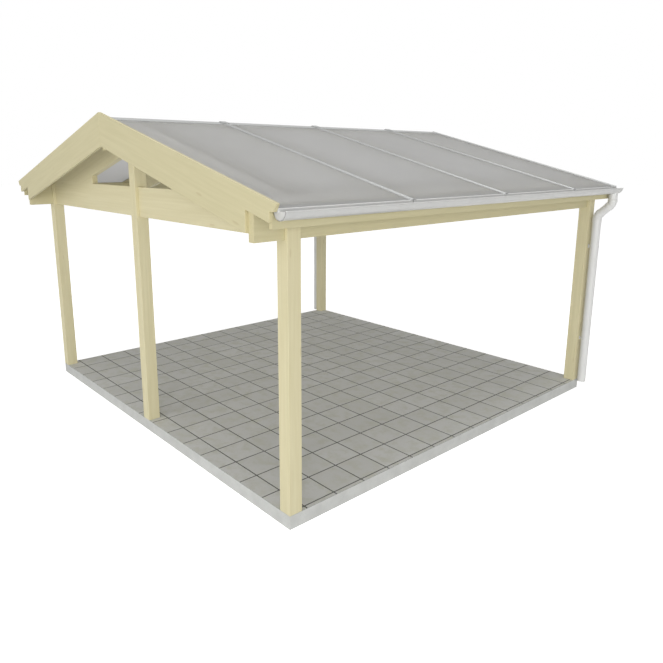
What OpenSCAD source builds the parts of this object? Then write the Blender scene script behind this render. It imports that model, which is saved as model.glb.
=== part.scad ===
// Sunroom frame: an open gable-roofed timber frame on its concrete slab,
// with multiwall roof sheets, half-round gutters and downpipes.
// Units are millimetres. X runs across the gable, Y along the ridge, Z is up.
// The front gable faces -Y; the open back at +Y stands against a house.

/* [Floor slab] */
// slab width across the gable
slab_width = 4522; // [3000:1:7000]
// slab depth along the ridge
slab_depth = 4353; // [2500:1:7000]
// slab thickness above the ground
slab_height = 110; // [60:1:300]

/* [Posts and beams] */
// side of the square posts
post_size = 115; // [80:1:160]
// clear height from the slab to the underside of the beams
clear_height = 2000; // [1800:1:2600]
// thickness of every beam and rafter
beam_thickness = 56; // [40:1:90]
// depth of the tie beams at the front and back
tie_depth = 270; // [180:1:320]
// depth of the two side beams under the rafters
side_beam_depth = 225; // [160:1:300]

/* [Roof timber] */
// roof pitch in degrees
roof_pitch = 14.6; // [8:0.1:30]
// height of the rafters' top above the tie beams, at the side beams' inner face
tie_cover = 11; // [5:1:80]
// rafter depth, square to the slope
rafter_depth = 230; // [140:1:280]
// plumb depth of the rafter tails outside the side beams
tail_depth = 105; // [80:1:180]
// drop of the level soffit at the gable's apex below the rafters' underside
soffit_drop = 82; // [40:1:130]
// distance from the middle to the upright end of the gable opening
gable_opening_reach = 1000; // [600:1:1600]
// barge board thickness
barge_thickness = 28; // [18:1:45]
// barge board depth, square to the slope
barge_depth = 279; // [180:1:320]
// plumb depth of the barge board beyond the side beams
barge_tip_depth = 140; // [100:1:200]
// plumb height of the barge boards' top edge above the sheets
barge_stand = 41.5; // [20:0.5:80]
// how far the tip of a barge board reaches past the fascia board
barge_tip_overhang = 85; // [70:1:110]
// plumb depth of the cut-back tip
tip_height = 52; // [30:1:80]
// how far the top corner of the tip stands out past its lower corner
tip_slant = 32; // [10:1:50]
// how far the lower part of a barge board reaches past the fascia board
barge_step_overhang = 12; // [5:1:30]
// overhang of the barge boards in front of the slab
front_overhang = 270.5; // [100:0.5:500]
// set-back of the side beams' ends from the barge boards' front
beam_end_setback = 24; // [0:1:28]
// gap between a side beam's end and the barge board over it
nose_gap = 2; // [0:1:10]
// gap between a side beam and its fascia board
eave_gap = 155.5; // [60:0.5:300]
// fascia board thickness
fascia_thickness = 28; // [18:1:45]
// depth of the fascia boards on their outer face
fascia_depth = 117; // [80:1:180]
// gap between the top of a corner post and the sheets
post_top_gap = 25; // [10:1:60]

/* [Roof covering] */
// thickness of the multiwall sheets
sheet_thickness = 25; // [10:1:35]
// distance from the barge boards to the first glazing bar
first_bay = 1240; // [900:1:1400]
// distance between the glazing bars
bay_pitch = 1212; // [900:1:1300]
// how far the sheets reach past the fascia boards
sheet_overhang = 53; // [20:1:60]
// gap between neighbouring sheets, filled by the web of the glazing bar
sheet_gap = 8; // [4:1:12]
// width of the glazing bar's cap
bar_width = 60; // [40:1:80]
// plumb height of the glazing bar's cap above the sheets
bar_height = 10; // [5:1:20]
// how far a glazing bar runs past the sheets' lower edge
bar_overrun = 8; // [0:1:20]
// width of the bar along the back edge
edge_bar_width = 45; // [30:1:80]
// width of the ridge cap over both slopes
ridge_cap_width = 184; // [120:1:320]
// plumb thickness of the ridge cap
ridge_cap_thickness = 4; // [2:1:8]

/* [Rainwater goods] */
// outside radius of the half-round gutters
gutter_radius = 59; // [50:1:80]
// gutter wall
gutter_wall = 2.5; // [1.5:0.5:4]
// radius of the bead along the gutter's outer lip
gutter_bead = 5; // [3:0.5:8]
// drop of the gutter's rim below the top of the fascia board
gutter_drop = 4; // [2:1:30]
// gap between the barge boards and the front ends of the gutters
gutter_setback = 14; // [0:1:60]
// how far the gutters run past the back of the slab
gutter_overrun = 35.5; // [0:0.5:100]
// outside radius of the downpipes
pipe_radius = 45; // [30:1:54]
// wall of the sockets that join the downpipes
socket_wall = 3.5; // [2:0.5:6]
// clear gap between a downpipe and its post
pipe_gap = 22; // [10:1:60]
// distance of a downpipe's middle from the back edge of the slab
pipe_setback = 52; // [40:1:120]
// straight length of the outlet under the gutter
outlet_length = 76; // [30:1:90]
// bend of the swan neck in degrees
swan_angle = 47; // [30:1:70]
// centreline radius of the swan neck's bends
swan_radius = 70; // [60:1:120]
// depth of the open mouth at a downpipe's foot
mouth_depth = 60; // [20:1:200]

/* [Hidden] */
$fn = 64;
eps = 0.5;
overall_depth = front_overhang + slab_depth + gutter_overrun;
// Y stations
front_y = -overall_depth / 2;              // front face of the barge boards
barge_back_y = front_y + barge_thickness;  // back face of the barge boards
slab_y = front_y + front_overhang;         // front edge of the slab
back_y = slab_y + slab_depth;              // back edge of the slab
gutter_front_y = barge_back_y + gutter_setback;
gutter_back_y = back_y + gutter_overrun;
front_beam_y = slab_y + (post_size - beam_thickness) / 2;
back_beam_y = back_y - (post_size + beam_thickness) / 2;
pipe_y = back_y - pipe_setback;
beam_front_y = front_y + beam_end_setback;
// X stations
half_width = slab_width / 2;
side_beam_in = half_width - (post_size + beam_thickness) / 2;
side_beam_out = side_beam_in + beam_thickness;
fascia_in = side_beam_out + eave_gap;
fascia_reach = fascia_in + fascia_thickness;
sheet_reach = fascia_reach + sheet_overhang;
barge_reach = fascia_reach + barge_tip_overhang;
ridge_cap_reach = ridge_cap_width / 2;
half_beam = beam_thickness / 2;
half_post = post_size / 2;
gutter_x = fascia_reach + gutter_radius;
pipe_reach = half_width + pipe_gap + pipe_radius;
socket_radius = pipe_radius + socket_wall;
// heights, all from the ground
floor_z = slab_height;
beam_z = floor_z + clear_height;
tie_top = beam_z + tie_depth;
side_beam_top = beam_z + side_beam_depth;
rise = tan(roof_pitch);
plumb = 1 / cos(roof_pitch);
top_apex = tie_top + tie_cover + rise * side_beam_in;
low_apex = top_apex - rafter_depth * plumb;
sheet_apex = top_apex + sheet_thickness * plumb;
barge_top_apex = sheet_apex + barge_stand;
soffit_z = low_apex - soffit_drop;
function low(x) = low_apex - rise * x;       // underside of the rafters
function top(x) = top_apex - rise * x;       // top of the rafters
function over(x) = sheet_apex - rise * x;    // top of the sheets
function barge_top(x) = barge_top_apex - rise * x;
post_head = low(half_post);                  // top of the middle post
ear_top = top(half_width) - post_top_gap;    // top of the corner posts
soffit_x = soffit_drop / rise;               // where the soffit meets a rafter
rim_z = top(fascia_reach) - gutter_drop;
seam_ys = [for (k = [0 : 2]) barge_back_y + first_bay + k * bay_pitch];
// swan neck of a downpipe
neck_top = rim_z - gutter_radius - outlet_length;
neck_in = swan_radius * (1 - cos(swan_angle));
neck_run = gutter_x - pipe_reach - 2 * neck_in;
neck_length = neck_run / sin(swan_angle);
neck_drop = swan_radius * sin(swan_angle);
neck_foot = neck_top - 2 * neck_drop - neck_length * cos(swan_angle);
pipe_foot = floor_z;

timber = "#d6cda2";
concrete = "#c4c4c1";
sheet_grey = "#aeaeac";
profile_grey = "#b9bab7";
gutter_white = "#dcdcda";

// Extrudes a profile drawn in X and Z from y0 to y1.
module along_y(y0, y1) {
  translate([0, y1, 0]) rotate([90, 0, 0]) linear_extrude(height = y1 - y0) children();
}

// A block given by its low and high corners.
module block(low_corner, high_corner) {
  translate(low_corner) cube(high_corner - low_corner);
}

// A band that follows both roof slopes, between two heights at the ridge.
module roof_band(lower, upper, reach) {
  polygon([
    [-reach, lower - rise * reach], [0, lower], [reach, lower - rise * reach],
    [reach, upper - rise * reach], [0, upper], [-reach, upper - rise * reach]
  ]);
}

// --- floor ---

module floor_slab() color(concrete)
  block([-half_width, slab_y, 0], [half_width, back_y, floor_z]);

// --- posts ---

// A corner post on the right, slotted at its head for the side beam
// and, on the inner side only, for the tie beam and its rafter.
module corner_post(y0) {
  difference() {
    block([half_width - post_size, y0, floor_z], [half_width, y0 + post_size, ear_top]);
    block([side_beam_in, y0 - eps, beam_z], [side_beam_out, y0 + post_size + eps, ear_top + eps]);
    block([half_width - post_size - eps, y0 + (post_size - beam_thickness) / 2, beam_z],
          [side_beam_in + eps, y0 + (post_size + beam_thickness) / 2, ear_top + eps]);
  }
}

module post_front_right() color(timber) corner_post(slab_y);
module post_front_left() color(timber) mirror([1, 0, 0]) corner_post(slab_y);
module post_back_right() color(timber) corner_post(back_y - post_size);
module post_back_left() color(timber) mirror([1, 0, 0]) corner_post(back_y - post_size);

// The middle post carries the ridge beam; the tie beam passes through it.
module post_front_middle() color(timber)
  difference() {
    block([-half_post, slab_y, floor_z], [half_post, slab_y + post_size, post_head]);
    block([-half_post - eps, front_beam_y, beam_z],
          [half_post + eps, front_beam_y + beam_thickness, tie_top]);
  }

// --- beams ---

// The side beam's end passes through the notch in the barge board.
module side_beam() {
  nose_top = barge_top(side_beam_out) - barge_tip_depth - nose_gap;
  block([side_beam_in, barge_back_y, beam_z], [side_beam_out, back_y, side_beam_top]);
  block([side_beam_in, beam_front_y, beam_z], [side_beam_out, barge_back_y + eps, nose_top]);
}

module side_beam_right() color(timber) side_beam();
module side_beam_left() color(timber) mirror([1, 0, 0]) side_beam();

module tie_beam(y0)
  block([-side_beam_in, y0, beam_z], [side_beam_in, y0 + beam_thickness, tie_top]);

module tie_beam_front() color(timber) tie_beam(front_beam_y);
module tie_beam_back() color(timber) tie_beam(back_beam_y);

module king_strut() color(timber)
  block([-half_post, back_beam_y, tie_top], [half_post, back_beam_y + beam_thickness, post_head]);

module ridge_beam() color(timber)
  along_y(barge_back_y, back_y)
    polygon([[-half_beam, post_head], [half_beam, post_head], [half_beam, top(half_beam)],
             [0, top_apex], [-half_beam, top(half_beam)]]);

// --- rafters ---

// Gable rafter on the right, with its level soffit at the apex and its solid heel.
module gable_rafter(y0)
  along_y(y0, y0 + beam_thickness)
    polygon([
      [half_beam, post_head], [half_post, post_head], [half_post, soffit_z],
      [soffit_x, soffit_z], [gable_opening_reach, low(gable_opening_reach)],
      [gable_opening_reach, tie_top], [side_beam_in, tie_top],
      [side_beam_in, side_beam_top], [side_beam_out, side_beam_top],
      [side_beam_out, top(side_beam_out)], [half_beam, top(half_beam)]
    ]);

module gable_rafter_front_right() color(timber) gable_rafter(front_beam_y);
module gable_rafter_front_left() color(timber) mirror([1, 0, 0]) gable_rafter(front_beam_y);
module gable_rafter_back_right() color(timber) gable_rafter(back_beam_y);
module gable_rafter_back_left() color(timber) mirror([1, 0, 0]) gable_rafter(back_beam_y);

// Common rafter on the right: notched over the side beam, with a tail to the fascia.
module common_rafter(y)
  along_y(y - half_beam, y + half_beam)
    polygon([
      [half_beam, low(half_beam)], [side_beam_in, low(side_beam_in)],
      [side_beam_in, side_beam_top], [side_beam_out, side_beam_top],
      [side_beam_out, top(side_beam_out) - tail_depth],
      [fascia_in, top(fascia_in) - tail_depth],
      [fascia_in, top(fascia_in)], [half_beam, top(half_beam)]
    ]);

module rafter_right_1() color(timber) common_rafter(seam_ys[0]);
module rafter_right_2() color(timber) common_rafter(seam_ys[1]);
module rafter_right_3() color(timber) common_rafter(seam_ys[2]);
module rafter_left_1() color(timber) mirror([1, 0, 0]) common_rafter(seam_ys[0]);
module rafter_left_2() color(timber) mirror([1, 0, 0]) common_rafter(seam_ys[1]);
module rafter_left_3() color(timber) mirror([1, 0, 0]) common_rafter(seam_ys[2]);

// --- barge boards and fascias ---

// Barge board on the right: deep as far as the side beam, shallower beyond it,
// and cut back at the tip so that the gutter passes under.
module barge_board() {
  step_x = fascia_reach + barge_step_overhang;
  tip_x = barge_reach - tip_slant;
  tip_z = barge_top(barge_reach) - tip_height;
  along_y(front_y, barge_back_y)
    polygon([
      [0, barge_top(0) - barge_depth * plumb],
      [side_beam_in, barge_top(side_beam_in) - barge_depth * plumb],
      [side_beam_in, barge_top(side_beam_in) - barge_tip_depth],
      [step_x, barge_top(step_x) - barge_tip_depth],
      [step_x, tip_z], [tip_x, tip_z],
      [barge_reach, barge_top(barge_reach)], [0, barge_top(0)]
    ]);
}

module barge_board_right() color(timber) barge_board();
module barge_board_left() color(timber) mirror([1, 0, 0]) barge_board();

module fascia()
  along_y(barge_back_y, back_y)
    polygon([[fascia_in, top(fascia_reach) - fascia_depth],
             [fascia_reach, top(fascia_reach) - fascia_depth],
             [fascia_reach, top(fascia_reach)], [fascia_in, top(fascia_in)]]);

module fascia_right() color(timber) fascia();
module fascia_left() color(timber) mirror([1, 0, 0]) fascia();

// --- roof covering ---

// One sheet on the right slope, its lower end cut square to the slope.
module roof_sheet(y0, y1)
  along_y(y0, y1)
    polygon([
      [0, top_apex], [sheet_reach, top(sheet_reach)],
      [sheet_reach + sheet_thickness * sin(roof_pitch),
       top(sheet_reach) + sheet_thickness * cos(roof_pitch)],
      [0, sheet_apex]
    ]);

// Sheet k of four, counted from the front.
module sheet_in_bay(k)
  roof_sheet(k == 1 ? barge_back_y : seam_ys[k - 2] + sheet_gap / 2,
             k == 4 ? back_y : seam_ys[k - 1] - sheet_gap / 2);

module roof_sheet_right_1() color(sheet_grey) sheet_in_bay(1);
module roof_sheet_right_2() color(sheet_grey) sheet_in_bay(2);
module roof_sheet_right_3() color(sheet_grey) sheet_in_bay(3);
module roof_sheet_right_4() color(sheet_grey) sheet_in_bay(4);
module roof_sheet_left_1() color(sheet_grey) mirror([1, 0, 0]) sheet_in_bay(1);
module roof_sheet_left_2() color(sheet_grey) mirror([1, 0, 0]) sheet_in_bay(2);
module roof_sheet_left_3() color(sheet_grey) mirror([1, 0, 0]) sheet_in_bay(3);
module roof_sheet_left_4() color(sheet_grey) mirror([1, 0, 0]) sheet_in_bay(4);

// The cap of a bar rests on the sheets and steps over the ridge cap.
module bar_cap(y0, y1) {
  reach = sheet_reach + bar_overrun;
  step = ridge_cap_reach;
  crown = sheet_apex + ridge_cap_thickness;
  along_y(y0, y1)
    polygon([
      [-reach, over(reach)], [-step, over(step)], [-step, over(step) + ridge_cap_thickness],
      [0, crown], [step, over(step) + ridge_cap_thickness], [step, over(step)],
      [reach, over(reach)], [reach, over(reach) + bar_height],
      [0, sheet_apex + bar_height], [-reach, over(reach) + bar_height]
    ]);
}

// A glazing bar: the cap and, between the sheets, its web down to the rafters.
module glazing_bar(y) {
  lap = 2;
  step = ridge_cap_reach + lap;
  bar_cap(y - bar_width / 2, y + bar_width / 2);
  along_y(y - sheet_gap / 2, y + sheet_gap / 2)
    polygon([
      [-sheet_reach, top(sheet_reach)], [0, top_apex], [sheet_reach, top(sheet_reach)],
      [sheet_reach, over(sheet_reach) + lap], [step, over(step) + lap], [step, over(step)],
      [0, sheet_apex],
      [-step, over(step)], [-step, over(step) + lap], [-sheet_reach, over(sheet_reach) + lap]
    ]);
}

module glazing_bar_1() color(profile_grey) glazing_bar(seam_ys[0]);
module glazing_bar_2() color(profile_grey) glazing_bar(seam_ys[1]);
module glazing_bar_3() color(profile_grey) glazing_bar(seam_ys[2]);
module edge_bar_back() color(profile_grey) bar_cap(back_y - edge_bar_width, back_y);

module ridge_cap() color(profile_grey)
  along_y(barge_back_y, back_y)
    roof_band(sheet_apex, sheet_apex + ridge_cap_thickness, ridge_cap_reach);

// --- rainwater goods ---

// Lower half of a cylinder lying along Y.
module half_round(r, y0, y1)
  difference() {
    translate([gutter_x, y1, rim_z]) rotate([90, 0, 0]) cylinder(r = r, h = y1 - y0);
    block([gutter_x - r - eps, y0 - eps, rim_z], [gutter_x + r + eps, y1 + eps, rim_z + r + eps]);
  }

// Half-round gutter on the right with both ends closed and an outlet near the back.
module gutter() {
  difference() {
    half_round(gutter_radius, gutter_front_y, gutter_back_y);
    translate([gutter_x, gutter_back_y - gutter_wall, rim_z]) rotate([90, 0, 0])
      cylinder(r = gutter_radius - gutter_wall,
               h = gutter_back_y - gutter_front_y - 2 * gutter_wall);
    translate([gutter_x, pipe_y, rim_z - gutter_radius - gutter_radius / 4])
      cylinder(r = pipe_radius - gutter_wall, h = gutter_radius * 5 / 4);
  }
  translate([gutter_x + gutter_radius, gutter_back_y, rim_z]) rotate([90, 0, 0])
    cylinder(r = gutter_bead, h = gutter_back_y - gutter_front_y, $fn = 24);
}

module gutter_right() color(gutter_white) gutter();
module gutter_left() color(gutter_white) mirror([1, 0, 0]) gutter();

// One bend of the swan neck in the X-Z plane, starting at the given angle.
module bend(x, z, start)
  translate([x, pipe_y, z]) rotate([90, 0, 0]) rotate([0, 0, start])
    rotate_extrude(angle = swan_angle) translate([swan_radius, 0]) circle(r = pipe_radius);

// A socket sleeve on a downpipe, as long as two half-lengths about the joint it covers.
module socket(below, above)
  translate([0, 0, -below]) cylinder(r = socket_radius, h = below + above);

// Downpipe on the right: outlet, swan neck, straight pipe, sockets and open foot.
// Each length ends inside the socket that joins it to the next.
module downpipe() {
  lap = 5;
  reach_in = 10;
  reach_out = 22;
  difference() {
    union() {
      translate([gutter_x, pipe_y, neck_top + lap])
        cylinder(r = pipe_radius, h = rim_z - neck_top - lap);
      translate([gutter_x, pipe_y, neck_top]) socket(reach_in, reach_out);
      bend(gutter_x - swan_radius, neck_top, -swan_angle);
      translate([pipe_reach + neck_in, pipe_y, neck_foot + neck_drop]) rotate([0, swan_angle, 0]) {
        socket(reach_in, reach_out);
        translate([0, 0, lap]) cylinder(r = pipe_radius, h = neck_length - 2 * lap);
        translate([0, 0, neck_length]) socket(reach_out, reach_in);
      }
      bend(pipe_reach + swan_radius, neck_foot, 180 - swan_angle);
      translate([pipe_reach, pipe_y, neck_foot]) socket(2 * reach_out, reach_in);
      translate([pipe_reach, pipe_y, pipe_foot])
        cylinder(r = pipe_radius, h = neck_foot - pipe_foot - lap);
    }
    translate([pipe_reach, pipe_y, pipe_foot - eps])
      cylinder(r = pipe_radius - gutter_wall, h = mouth_depth + eps);
    translate([gutter_x, pipe_y, neck_top + lap])
      cylinder(r = pipe_radius - gutter_wall, h = gutter_radius * 2);
    translate([gutter_x, gutter_back_y + eps, rim_z]) rotate([90, 0, 0])
      cylinder(r = gutter_radius, h = 4 * gutter_radius + gutter_back_y - pipe_y);
  }
}

module downpipe_right() color(gutter_white) downpipe();
module downpipe_left() color(gutter_white) mirror([1, 0, 0]) downpipe();

floor_slab();
post_front_left();
post_front_right();
post_front_middle();
post_back_left();
post_back_right();
side_beam_left();
side_beam_right();
tie_beam_front();
tie_beam_back();
king_strut();
ridge_beam();
gable_rafter_front_left();
gable_rafter_front_right();
gable_rafter_back_left();
gable_rafter_back_right();
rafter_left_1();
rafter_left_2();
rafter_left_3();
rafter_right_1();
rafter_right_2();
rafter_right_3();
barge_board_left();
barge_board_right();
fascia_left();
fascia_right();
roof_sheet_left_1();
roof_sheet_left_2();
roof_sheet_left_3();
roof_sheet_left_4();
roof_sheet_right_1();
roof_sheet_right_2();
roof_sheet_right_3();
roof_sheet_right_4();
glazing_bar_1();
glazing_bar_2();
glazing_bar_3();
edge_bar_back();
ridge_cap();
gutter_left();
gutter_right();
downpipe_left();
downpipe_right();
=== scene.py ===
"""Sunroom frame: looks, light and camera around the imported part.

An open gable-roofed timber frame on a tiled slab, with multiwall roof sheets,
aluminium bars, half-round gutters and downpipes. Units are metres, in the frame
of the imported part: X across the gable, Y along the ridge towards the house, Z up.
"""

import logging
import math
from dataclasses import dataclass, field
from enum import Enum

import bmesh
import bpy
from mathutils import Matrix, Vector


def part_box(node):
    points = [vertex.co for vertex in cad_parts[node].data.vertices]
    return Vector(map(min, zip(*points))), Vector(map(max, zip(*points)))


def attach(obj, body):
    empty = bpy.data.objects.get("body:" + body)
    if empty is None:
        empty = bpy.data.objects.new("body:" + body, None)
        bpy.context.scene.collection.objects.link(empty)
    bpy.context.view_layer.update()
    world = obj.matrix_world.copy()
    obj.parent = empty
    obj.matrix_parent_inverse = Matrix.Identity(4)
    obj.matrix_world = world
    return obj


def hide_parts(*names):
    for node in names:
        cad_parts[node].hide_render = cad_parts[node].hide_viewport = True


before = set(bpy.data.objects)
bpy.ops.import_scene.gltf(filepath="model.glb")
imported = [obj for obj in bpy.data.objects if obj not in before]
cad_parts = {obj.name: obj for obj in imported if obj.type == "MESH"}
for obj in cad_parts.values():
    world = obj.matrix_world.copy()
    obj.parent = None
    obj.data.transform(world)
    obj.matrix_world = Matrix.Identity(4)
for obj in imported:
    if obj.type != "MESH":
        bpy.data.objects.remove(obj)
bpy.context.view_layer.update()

logging.basicConfig(level=logging.INFO, format="%(message)s")
log = logging.getLogger("sunroom")

MM = 0.001
PITCH = math.radians(14.6)
RISE = math.tan(PITCH)
BODY = "root"


# --- finishes ---


def linear(code: str) -> tuple[float, float, float, float]:
    """Turns an sRGB hex colour into linear values.

    Args:
        code: six hex digits.

    Returns:
        Red, green, blue and an alpha of 1.
    """
    parts = [int(code[k : k + 2], 16) / 255 for k in (0, 2, 4)]
    return (*(c / 12.92 if c <= 0.04045 else ((c + 0.055) / 1.055) ** 2.4 for c in parts), 1.0)


def add(tree: bpy.types.NodeTree, kind: str, inputs: dict | None = None, **settings) -> bpy.types.Node:
    """Adds a shader node.

    Args:
        tree: the material's or world's node tree.
        kind: the node's type without "ShaderNode".
        inputs: a value, or an output socket to link, for each input's name or number.
        settings: the node's own attributes.

    Returns:
        The new node.
    """
    node = tree.nodes.new("ShaderNode" + kind)
    for key, value in settings.items():
        setattr(node, key, value)
    for key, value in (inputs or {}).items():
        if isinstance(value, bpy.types.NodeSocket):
            tree.links.new(value, node.inputs[key])
        else:
            node.inputs[key].default_value = value
    return node


class Grain(Enum):
    """The direction of a board's fibres, as the turn that lays it along the pattern's X."""

    ACROSS = (0.0, 0.0, 0.0)
    ALONG = (0.0, 0.0, -math.pi / 2)
    UPRIGHT = (0.0, math.pi / 2, 0.0)
    RIGHT_SLOPE = (0.0, -PITCH, 0.0)
    LEFT_SLOPE = (0.0, PITCH, 0.0)


@dataclass(frozen=True)
class Finish:
    """A named finish that makes its material once and then reuses it."""

    label: str

    def material(self) -> bpy.types.Material:
        """Returns the finish's material, made on first use."""
        made = bpy.data.materials.get(self.label)
        if made:
            return made
        made = bpy.data.materials.new(self.label)
        made.use_nodes = True
        made.node_tree.nodes.clear()
        shader = self.shade(made.node_tree)
        add(made.node_tree, "OutputMaterial", {"Surface": shader.outputs[0]})
        return made

    def shade(self, tree: bpy.types.NodeTree) -> bpy.types.Node:
        """Builds the finish's nodes.

        Args:
            tree: an empty node tree.

        Returns:
            The shader node.
        """
        raise NotImplementedError


@dataclass(frozen=True)
class StainedPine(Finish):
    """Planed pine under a pale opaque stain: even cream, with the grain just showing.

    The stain hides the colour of the wood, so its streaks are only a shade apart,
    and the light rides on the raised fibres. Streaks are 25 mm wide, fibres 3 mm.
    """

    grain: Grain = Grain.ACROSS
    board: int = 0
    light: str = "dcd4b0"
    dark: str = "d0c79f"
    knot: str = "bfb085"

    def shade(self, tree: bpy.types.NodeTree) -> bpy.types.Node:
        """Builds the stain, the grain and a knot here and there."""
        place = add(tree, "TexCoord")
        turned = add(
            tree,
            "Mapping",
            {
                "Vector": place.outputs["Object"],
                "Rotation": self.grain.value,
                "Location": (3.7 * self.board, 0.83 * self.board, 0.59 * self.board),
            },
        )
        # 0.7 m long streaks, 25 mm wide
        wide = add(tree, "VectorMath", {0: turned.outputs[0], 1: (1.4, 40, 40)}, operation="MULTIPLY")
        streak = add(
            tree,
            "TexNoise",
            {"Vector": wide.outputs[0], "Scale": 1.0, "Detail": 3.0, "Roughness": 0.55, "Distortion": 0.35},
        )
        # fibres: 0.15 m long, 3 mm wide
        fine = add(tree, "VectorMath", {0: turned.outputs[0], 1: (7, 330, 330)}, operation="MULTIPLY")
        fibre = add(tree, "TexNoise", {"Vector": fine.outputs[0], "Scale": 1.0, "Detail": 2.0})
        # knots: one in about half a metre of board, 15 to 20 mm across
        cells = add(tree, "VectorMath", {0: turned.outputs[0], 1: (2.1, 9, 9)}, operation="MULTIPLY")
        knots = add(tree, "TexVoronoi", {"Vector": cells.outputs[0], "Scale": 1.0, "Randomness": 1.0})
        spot = add(
            tree,
            "MapRange",
            {
                "Value": knots.outputs["Distance"],
                "From Min": 0.05,
                "From Max": 0.11,
                "To Min": 0.45,
                "To Max": 0.0,
            },
            interpolation_type="SMOOTHSTEP",
        )
        blend = add(
            tree,
            "MapRange",
            {
                "Value": streak.outputs[0],
                "From Min": 0.32,
                "From Max": 0.68,
                "To Min": 0.05,
                "To Max": 0.65,
            },
        )
        grain = add(
            tree, "Math", {0: fibre.outputs[0], 1: 0.25, 2: blend.outputs[0]}, operation="MULTIPLY_ADD"
        )
        stain = add(
            tree,
            "Mix",
            {"Factor": grain.outputs[0], 6: linear(self.light), 7: linear(self.dark)},
            data_type="RGBA",
        )
        colour = add(
            tree,
            "Mix",
            {"Factor": spot.outputs[0], 6: stain.outputs[2], 7: linear(self.knot)},
            data_type="RGBA",
        )
        rough = add(tree, "MapRange", {"Value": fibre.outputs[0], "To Min": 0.50, "To Max": 0.68})
        raised = add(
            tree, "Bump", {"Height": fibre.outputs[0], "Strength": 0.18, "Distance": 0.6 * MM}
        )
        return add(
            tree,
            "BsdfPrincipled",
            {
                "Base Color": colour.outputs[2],
                "Roughness": rough.outputs[0],
                "Normal": raised.outputs[0],
                "IOR": 1.5,
            },
        )


@dataclass(frozen=True)
class SawnEnd(Finish):
    """Cross-cut end of a pine board under the same stain: a shade deeper, with its growth rings."""

    grain: Grain = Grain.ACROSS
    early: str = "d3cba5"
    late: str = "bfb58b"
    ring: float = 5 * MM

    def shade(self, tree: bpy.types.NodeTree) -> bpy.types.Node:
        """Builds the growth rings, 5 mm apart, about a pith below the board."""
        place = add(tree, "TexCoord")
        turned = add(
            tree,
            "Mapping",
            {"Vector": place.outputs["Object"], "Rotation": self.grain.value, "Location": (0, 0.31, 1.7)},
        )
        # the texture has 20 / (2 pi) rings to a unit of length at a scale of 1
        rings = add(
            tree,
            "TexWave",
            {
                "Vector": turned.outputs[0],
                "Scale": 2 * math.pi / (20 * self.ring),
                "Distortion": 6.0,
                "Detail": 2.0,
                "Detail Scale": 0.06,
            },
            wave_type="RINGS",
            rings_direction="X",
        )
        colour = add(
            tree,
            "Mix",
            {"Factor": rings.outputs[1], 6: linear(self.early), 7: linear(self.late)},
            data_type="RGBA",
        )
        return add(tree, "BsdfPrincipled", {"Base Color": colour.outputs[2], "Roughness": 0.72, "IOR": 1.5})


@dataclass(frozen=True)
class CastConcrete(Finish):
    """Concrete struck from a smooth form: pale, matt, softly mottled, with fine pores."""

    pale: str = "d2d3d0"
    deep: str = "c4c5c2"
    pore: str = "a3a4a0"

    def shade(self, tree: bpy.types.NodeTree) -> bpy.types.Node:
        """Builds the mottling, in clouds of 150 mm, and 3 mm pores."""
        place = add(tree, "TexCoord")
        cloud = add(
            tree,
            "TexNoise",
            {"Vector": place.outputs["Object"], "Scale": 6.5, "Detail": 4.0, "Roughness": 0.6},
        )
        cells = add(tree, "TexVoronoi", {"Vector": place.outputs["Object"], "Scale": 55.0})
        pores = add(
            tree,
            "MapRange",
            {
                "Value": cells.outputs["Distance"],
                "From Min": 0.06,
                "From Max": 0.16,
                "To Min": 0.7,
                "To Max": 0.0,
            },
        )
        spread = add(tree, "MapRange", {"Value": cloud.outputs[0], "From Min": 0.3, "From Max": 0.7})
        body = add(
            tree,
            "Mix",
            {"Factor": spread.outputs[0], 6: linear(self.pale), 7: linear(self.deep)},
            data_type="RGBA",
        )
        colour = add(
            tree,
            "Mix",
            {"Factor": pores.outputs[0], 6: body.outputs[2], 7: linear(self.pore)},
            data_type="RGBA",
        )
        pitted = add(
            tree, "Bump", {"Height": cells.outputs["Distance"], "Strength": 0.15, "Distance": 1.0 * MM}
        )
        return add(
            tree,
            "BsdfPrincipled",
            {"Base Color": colour.outputs[2], "Roughness": 0.86, "Normal": pitted.outputs[0], "IOR": 1.5},
        )


@dataclass(frozen=True)
class CementJoint(Finish):
    """Damp cement and sand brushed into the joints: much darker than the tiles, and rough."""

    damp: str = "4b4c47"
    dry: str = "5f605a"

    def shade(self, tree: bpy.types.NodeTree) -> bpy.types.Node:
        """Builds the sandy grout, with 4 mm grit."""
        place = add(tree, "TexCoord")
        grit = add(tree, "TexNoise", {"Vector": place.outputs["Object"], "Scale": 240.0, "Detail": 2.0})
        colour = add(
            tree,
            "Mix",
            {"Factor": grit.outputs[0], 6: linear(self.damp), 7: linear(self.dry)},
            data_type="RGBA",
        )
        return add(
            tree, "BsdfPrincipled", {"Base Color": colour.outputs[2], "Roughness": 0.93, "IOR": 1.5}
        )


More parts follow.
